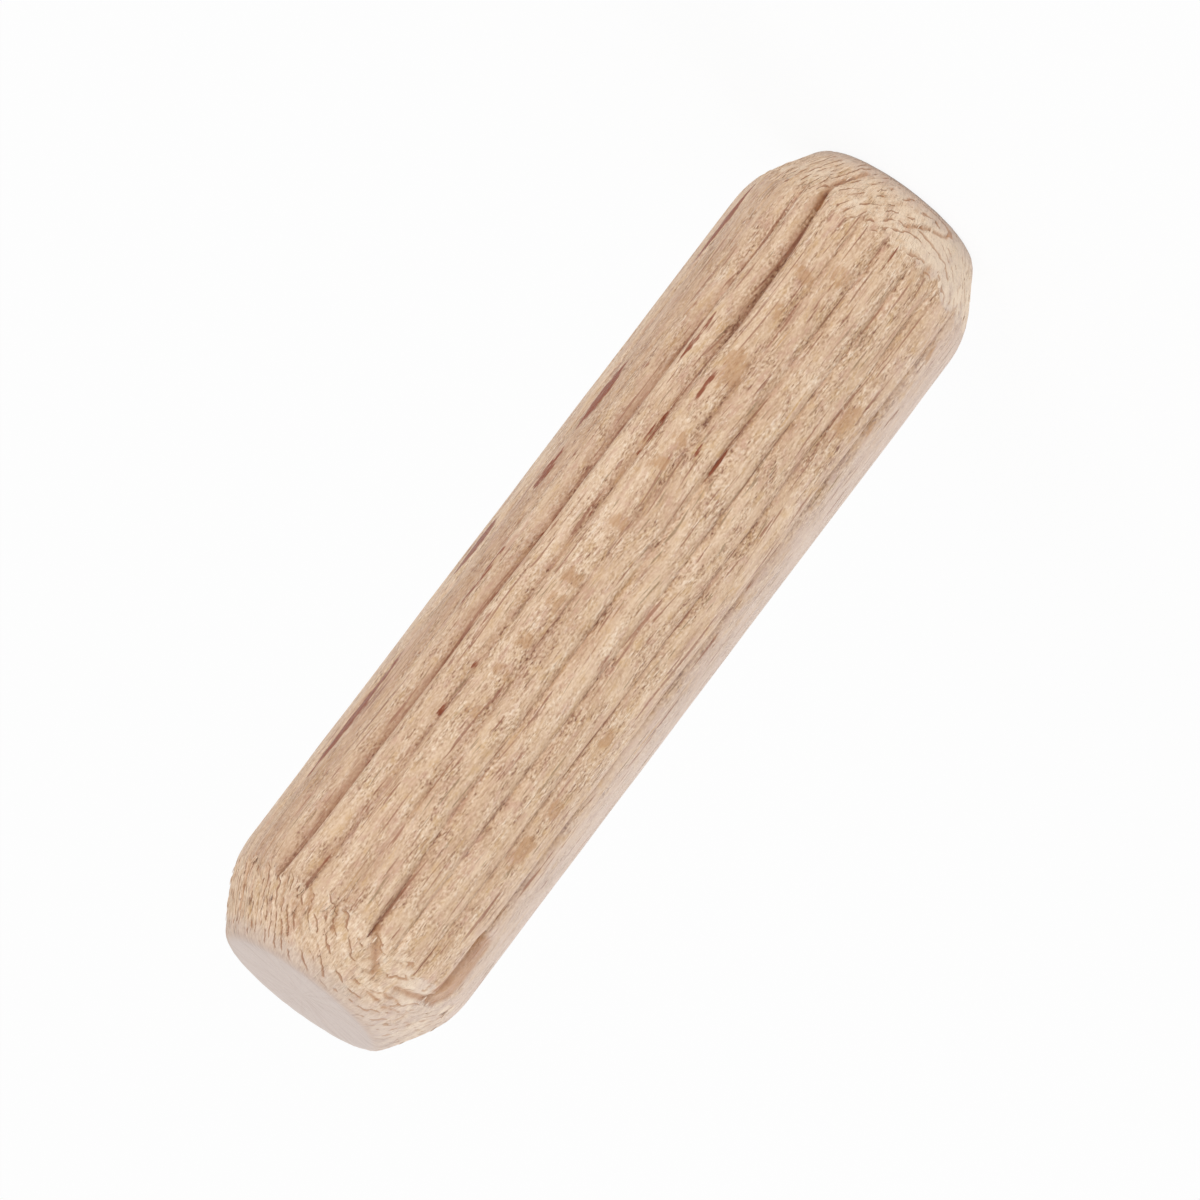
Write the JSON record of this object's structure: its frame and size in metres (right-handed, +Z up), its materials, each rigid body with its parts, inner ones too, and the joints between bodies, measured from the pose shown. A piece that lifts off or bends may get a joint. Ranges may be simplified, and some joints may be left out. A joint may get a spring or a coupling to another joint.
{
  "type": "dowel pin",
  "caption": "Short straight wooden peg with lengthwise glue flutes and a tapered lead-in at each end, pressed into two drilled holes to join boards.",
  "frame": {"origin": "centre of the lower end face, on the surface that the pin stands on", "axes": "+Z up along the pin's own axis, from the lower end face to the upper one; +X and +Y are square to it, with a flute 10 degrees round from +X"},
  "size_m": [0.008, 0.008, 0.0298],
  "materials": {
    "wood": "unfinished beech, machined: fine straight grain, satin on the ridges, rough on the tapered ends"
  },
  "bodies": {
    "root": {"dowel_pin": "wood"}
  },
  "joints": []
}
